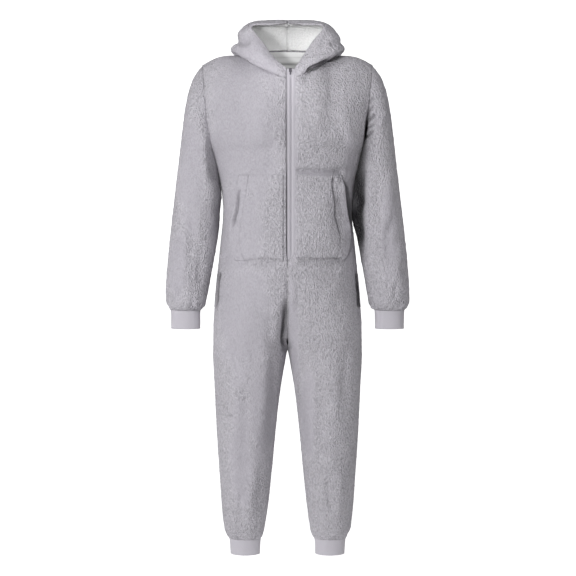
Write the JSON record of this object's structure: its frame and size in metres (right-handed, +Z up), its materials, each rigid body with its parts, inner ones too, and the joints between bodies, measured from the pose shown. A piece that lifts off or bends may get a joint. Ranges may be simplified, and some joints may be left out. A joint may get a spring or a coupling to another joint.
{
  "type": "onesie pajama",
  "caption": "Hooded plush fleece onesie pajama in its worn shape, hollow, with front zip, kangaroo pockets, lined hood and knit cuffs.",
  "frame": {"origin": "on the centre plane, between and just inside the shoulders, where the wearer carries the garment", "axes": "front faces -Y, +X is the viewer's right (the wearer's left) seen from the front, +Z up"},
  "size_m": [0.742, 0.3472, 1.641],
  "materials": {
    "plush": "short-pile plush fleece, matt with a soft sheen",
    "lining": "white sherpa fleece",
    "neck_tape": "woven cotton tape",
    "facing": "smooth brushed knit",
    "cuff_knit": "ribbed knit",
    "zip_tape": "woven polyester tape",
    "zip_coil": "nylon coil",
    "zip_metal": "painted zinc, satin"
  },
  "bodies": {
    "garment": {"ankle_cuff_left": "cuff_knit", "ankle_cuff_right": "cuff_knit", "back_left": "plush", "back_neck_facing": "facing", "back_right": "plush", "front_left": "plush", "front_right": "plush", "hood_left": "plush", "hood_lining_left": "lining", "hood_lining_right": "lining", "hood_right": "plush", "neck_tape": "neck_tape", "pocket_left": "plush", "pocket_right": "plush", "pocket_welt_left": "plush", "pocket_welt_right": "plush", "side_pocket_trim_left": "plush", "side_pocket_trim_right": "plush", "sleeve_left": "plush", "sleeve_right": "plush", "wrist_cuff_left": "cuff_knit", "wrist_cuff_right": "cuff_knit", "zip_coil": "zip_coil", "zip_slider": "zip_metal", "zip_tape_left": "zip_tape", "zip_tape_right": "zip_tape"},
    "pull_tab": {"zip_pull_tab": "zip_metal"}
  },
  "joints": [
    {"name": "pull_tab_hinge", "type": "hinge", "parent": "garment", "child": "pull_tab", "pos_m": [0.0085, -0.11064, -0.0427], "axis": [-1, 0, 0], "range_deg": [0, 150]}
  ]
}
